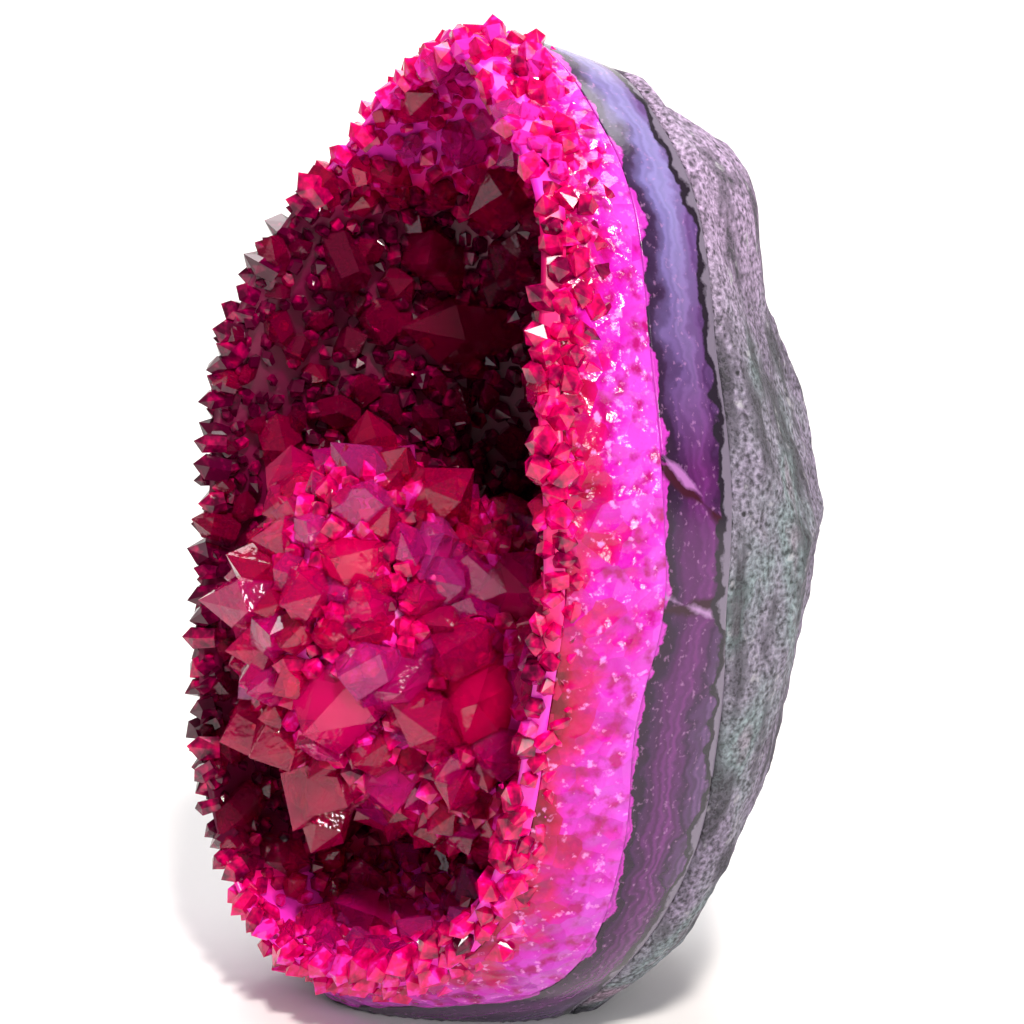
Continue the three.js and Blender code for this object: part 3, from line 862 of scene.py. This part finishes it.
agatePaint = {
    # share of the bandWidth from the inner edge, then colour
    "bandWidth": 10.0,
    # the upper ramp's pale lavender is partly the band's own colour, partly a painted highlight
    "upper": [(0.0, "#D038C0"), (0.025, "#30183A"), (0.13, "#443056"), (0.27, "#786CA8"), (0.5, "#8E84BE"),
              (0.72, "#6C4C88"), (1.0, "#5C447E")],
    "lower": [(0.0, "#D038C0"), (0.025, "#240A24"), (0.12, "#32143A"), (0.3, "#541C58"), (0.55, "#66266A"),
              (0.75, "#3C1644"), (1.0, "#603E6E")],
    "growthLine": 1.3,  # millimetres from one thin growth line to the next
    # height at the inner edge in metres, fall for each millimetre outwards, half-width and colour: a dark
    # notch and the pale vein over it, then a lower notch and vein
    "veins": [(0.0789, 0.9, 0.0006, "#3A0A20"), (0.0803, 1.0, 0.0, "#A868AC"),
              (0.0619, 0.0, 0.0006, "#300A20"), (0.0636, 0.45, 0.0, "#A47CAC")],
}


def agateMaterial():
    # polished chalcedony, banded by depth: plum line, violet, lavender that fades downwards, partly band
    # colour and partly a painted highlight at the top, charcoal line
    material, tree = startMaterial("bandedVioletAgate")
    place = objectPlace(tree)
    depth = addNode(tree, "Attribute", attribute_name="fromInner").outputs["Fac"]
    fromRock = addNode(tree, "Attribute", attribute_name="fromOuter").outputs["Fac"]
    height = addNode(tree, "SeparateXYZ", {"Vector": place}).outputs["Z"]
    # both edges wander by a millimetre or so, in waves 4 mm long
    warp = addNode(tree, "TexNoise", {"Vector": place, "Scale": scaleFor(4.167), "Detail": 5.0})
    shifted = addNode(tree, "Math", (warp, 5.6, -3.1), operation="MULTIPLY_ADD")
    warped = addNode(tree, "Math", (depth, shifted), operation="ADD")
    share = addNode(tree, "Math", (warped, agatePaint["bandWidth"]), operation="DIVIDE")
    lower, upper = (paintStops(addNode(tree, "ValToRGB", {"Fac": share}), agatePaint[part])
                    for part in ("lower", "upper"))
    # paler lavender towards the top: partly the band's own colour, partly a painted highlight
    rise = addNode(tree, "MapRange", (height, 0.078, 0.108))
    banded = addNode(tree, "Mix", {mixFactor: rise, mixUnder: lower, mixOver: upper}, data_type="RGBA")

    # thin growth lines, strongest in the lower half: colour times 0.9 + strength sin(turns)
    turns = addNode(tree, "Math", (warped, 2 * np.pi / agatePaint["growthLine"]), operation="MULTIPLY")
    wave = addNode(tree, "Math", (turns,), operation="SINE")
    low = addNode(tree, "MapRange", (height, 0.055, 0.03, 0.10, 0.30))
    lines = addNode(tree, "Math", (wave, low, 0.9), operation="MULTIPLY_ADD")
    lined = addNode(tree, "Mix", {mixFactor: 1.0, mixUnder: banded, mixOver: lines},
                    data_type="RGBA", blend_type="MULTIPLY")

    # rosy flecks about 0.7 mm across, a little longer upwards
    fleckPlace = objectPlace(tree, (1.0, 1.0, 0.85))
    flecks = addNode(tree, "TexNoise", {"Vector": fleckPlace, "Scale": scaleFor(0.667), "Detail": 4.0})
    rosy = addNode(tree, "MapRange", (flecks, 0.6, 0.8, 0.0, 0.55))
    overlays = [(rosy, "#C88CC4")]

    # a vein is where |height - (level - fall times depth)|, made ragged by the warp, is under its width
    for level, fall, width, code in agatePaint["veins"]:
        line = addNode(tree, "Math", (depth, -0.001 * fall, level), operation="MULTIPLY_ADD")
        off = addNode(tree, "Math", (height, line), operation="SUBTRACT")
        size = addNode(tree, "Math", (off,), operation="ABSOLUTE")
        ragged = addNode(tree, "Math", (warp, 0.0045, size), operation="MULTIPLY_ADD")
        vein = addNode(tree, "MapRange", (ragged, width + 0.0026, width + 0.0019))
        overlays.append((vein, code))

    # by the rock a charcoal line, and a thin strip of rock outside it
    edge = addNode(tree, "Math", (fromRock, shifted), operation="ADD")
    for inside, outside, code in [(1.5, 1.15, "#241C28"), (0.6, 0.3, "#746A7C")]:
        mask = addNode(tree, "MapRange", (edge, inside, outside))
        overlays.append((mask, code))
    bump = addNode(tree, "Bump", {"Height": flecks, "Strength": 0.06, "Distance": 0.0003})
    return finishMaterial(material, {
        "Base Color": paintOver(tree, lined, overlays), "Roughness": 0.2, "IOR": 1.54, "Normal": bump,
        "Specular IOR Level": 0.4,
    })


def rockMaterial():
    # rough broken basalt: grey, mauve near the top and green-grey in patches of 12 mm, dark specks in
    # upright streaks, pits painted near-black as painted shade, and pale flecks
    material, tree = startMaterial("roughBasalt")
    place = objectPlace(tree)
    height = addNode(tree, "SeparateXYZ", {"Vector": place}).outputs["Z"]
    tall, taller = objectPlace(tree, (1.0, 1.0, 0.5)), objectPlace(tree, (1.0, 1.0, 0.22))
    patches = addNode(tree, "TexNoise", {"Vector": tall, "Scale": scaleFor(11.76), "Detail": 5.0})
    colours = paintStops(addNode(tree, "ValToRGB", {"Fac": patches}), [
        (0.32, "#4E4A56"), (0.43, "#7E7288"), (0.53, "#7E7A88"), (0.62, "#748084"), (0.72, "#8A7486"),
    ])
    top = addNode(tree, "MapRange", (height, 0.088, 0.104, 0.0, 0.7))
    # streaks 4 mm wide and five times as tall, in which the 0.7 mm grains are dark
    streaks = addNode(tree, "TexNoise", {"Vector": taller, "Scale": scaleFor(4.348), "Detail": 4.0})
    grain = addNode(tree, "TexNoise", {"Vector": place, "Scale": scaleFor(0.667), "Detail": 5.0})
    band = addNode(tree, "MapRange", (streaks, 0.5, 0.62))
    speck = addNode(tree, "MapRange", (grain, 0.4, 0.56, 0.25, 0.95))
    groove = addNode(tree, "Math", (band, speck), operation="MULTIPLY")
    streaked = paintOver(tree, colours, [(top, "#AE94B6"), (groove, "#28262C")])
    shade = addNode(tree, "MapRange", (grain, 0.34, 0.66, 0.3, 1.85))
    shaded = addNode(tree, "Mix", {mixFactor: 1.0, mixUnder: streaked, mixOver: shade},
                     data_type="RGBA", blend_type="MULTIPLY")
    flecks = addNode(tree, "TexNoise", {"Vector": place, "Scale": scaleFor(2.38), "Detail": 6.0})
    pale = addNode(tree, "MapRange", (flecks, 0.63, 0.72, 0.0, 0.6))
    # painted shade of a pit about every 4 mm: a near-black spot
    holes = addNode(tree, "TexVoronoi", {"Vector": place, "Scale": scaleFor(3.846)})
    pitShade = addNode(tree, "MapRange", (holes, 0.12, 0.06, 0.0, 0.9))
    relief = addNode(tree, "Math", (streaks, 2.0, grain), operation="MULTIPLY_ADD")
    bump = addNode(tree, "Bump", {"Height": relief, "Strength": 1.0, "Distance": 0.0011})
    return finishMaterial(material, {
        "Base Color": paintOver(tree, shaded, [(pale, "#C8C4CC"), (pitShade, "#161418")]),
        "Roughness": 0.8, "IOR": 1.5, "Normal": bump,
    })


# The object

clearCrystals, milkyCrystals = makeCrystals()
pieces = [
    (makeRock(), rockMaterial(), "matrix_rind", "matrix_rock"),
    (makeAgate(), agateMaterial(), "agate_band", "agate"),
    (makeLip(), lipMaterial(), "quartz_layer", "pink_quartz"),
    (makeCrust(), crustMaterial(), "crystal_crust", "pink_crystal"),
    (clearCrystals, crystalMaterial(), "crystal_crust", "pink_crystal"),
    (milkyCrystals, milkyMaterial(), "crystal_crust", "pink_crystal"),
]
for piece, material, node, slotName in pieces:
    piece.data.materials.append(material)
    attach(piece, "root")
    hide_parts(node)
    print("made", piece.name, len(piece.data.polygons), "faces")


# Camera, light and ground

view = {
    "azimuth": 45.0,
    "elevation": 13.0,
    "distance": 0.300,
    "aimRight": 1.4,  # how far right of the stone's axis the camera aims, and how high, in millimetres
    "aimHeight": 66.0,
    "lens": 81.8,
    "nearest": 0.01,
}

lights = [
    # name, place, size in metres, power in watts, colour, and the point it faces
    ("key", (0.42, -0.26, 0.76), 0.10, 7.0, "#FFF8F0", (0, 0, 0.064)),
    ("side", (0.75, -0.10, 0.30), 0.16, 2.2, "#FFFFFF", (0, 0, 0.064)),
    ("fill", (0.0, -0.75, 0.35), 0.35, 0.5, "#F4F6FF", (0, 0, 0.064)),
    ("backing", (-0.22, 0.22, 1.0), 0.6, 9.0, "#FFFFFF", (-0.55, 0.55, 0.2)),
]

sky = {
    "lighting": 0.13,  # strength that lights the stone
    "seen": 1.0,  # strength that the camera sees
}


def makeCamera():
    # distance metres out from the aim, along the azimuth and elevation
    turn, lift = np.radians(view["azimuth"]), np.radians(view["elevation"])
    back = Vector((np.sin(turn) * np.cos(lift), -np.cos(turn) * np.cos(lift), np.sin(lift)))
    right = Vector((np.cos(turn), np.sin(turn), 0))
    aim = (right * view["aimRight"] + Vector((0, 0, view["aimHeight"])) + Vector(stone["seat"])) * 0.001
    camera = linkObject("camera", bpy.data.cameras.new("camera"))
    camera.data.lens = view["lens"]
    camera.data.clip_start = view["nearest"]
    placeFacing(camera, aim + back * view["distance"], aim)
    bpy.context.scene.camera = camera


def makeSoftbox(name, place, size, power, colour, aim):
    # a square light turned to face a point
    light = bpy.data.lights.new(name, "AREA")
    light.size = size
    light.energy = power
    light.color = linearColour(colour)[:3]
    placeFacing(linkObject(name, light), place, aim)


def makeWorld():
    # white behind the stone, and a dimmer white as the sky that lights it
    world = bpy.data.worlds.new("paleSky")
    world.use_nodes = True
    tree = world.node_tree
    tree.nodes.clear()
    seen = addNode(tree, "LightPath").outputs["Is Camera Ray"]
    strength = addNode(tree, "MapRange", {"Value": seen, "To Min": sky["lighting"], "To Max": sky["seen"]})
    white = addNode(tree, "Background", {"Color": (1, 1, 1, 1), "Strength": strength})
    addNode(tree, "OutputWorld", {"Surface": white})
    bpy.context.scene.world = world


backing = {
    "flat": 0.45,  # from the stone to where the sheet begins to curve up
    "bend": 0.30,  # radius of the curve
    "bendRows": 24,
    "rise": 1.3,
    "front": 0.62,
    "half": 2.2,
}


def makeFloor():
    # a white sheet: flat under the stone, then a quarter circle up behind it to an upright part
    turn = np.linspace(0, np.pi / 2, backing["bendRows"])
    away = np.concatenate([[-backing["front"]], backing["flat"] + backing["bend"] * np.sin(turn),
                           [backing["flat"] + backing["bend"]]])
    height = np.concatenate([[0], backing["bend"] * (1 - np.cos(turn)), [backing["rise"]]])
    side = np.array([[-backing["half"]], [backing["half"]]])
    slant = np.sqrt(0.5)  # the sheet faces the camera, 45 degrees round
    points = np.stack([(side - away) * slant, (side + away) * slant, height + 0 * side], -1)
    n = len(away)
    mesh = bpy.data.meshes.new("paleFloor")
    mesh.from_pydata(points.reshape(-1, 3).tolist(), [], [(k, n + k, n + k + 1, k + 1) for k in range(n - 1)])
    mesh.polygons.foreach_set("use_smooth", np.ones(n - 1, bool))
    floor = linkObject("paleFloor", mesh)
    mesh.materials.append(finishMaterial(startMaterial("mattWhitePaper")[0], {
        "Base Color": linearColour("#F2F0F0"), "Roughness": 0.95, "Specular IOR Level": 0.1,
    }))


makeCamera()
makeWorld()
makeFloor()
for light in lights:
    makeSoftbox(*light)
print("camera, floor and", len(lights), "lights placed")
scene = bpy.context.scene
scene.view_settings.view_transform = "Standard"
scene.cycles.use_denoising = True
scene.cycles.max_bounces = 5
scene.cycles.transmission_bounces = 5
scene.cycles.diffuse_bounces = 2
scene.cycles.glossy_bounces = 2
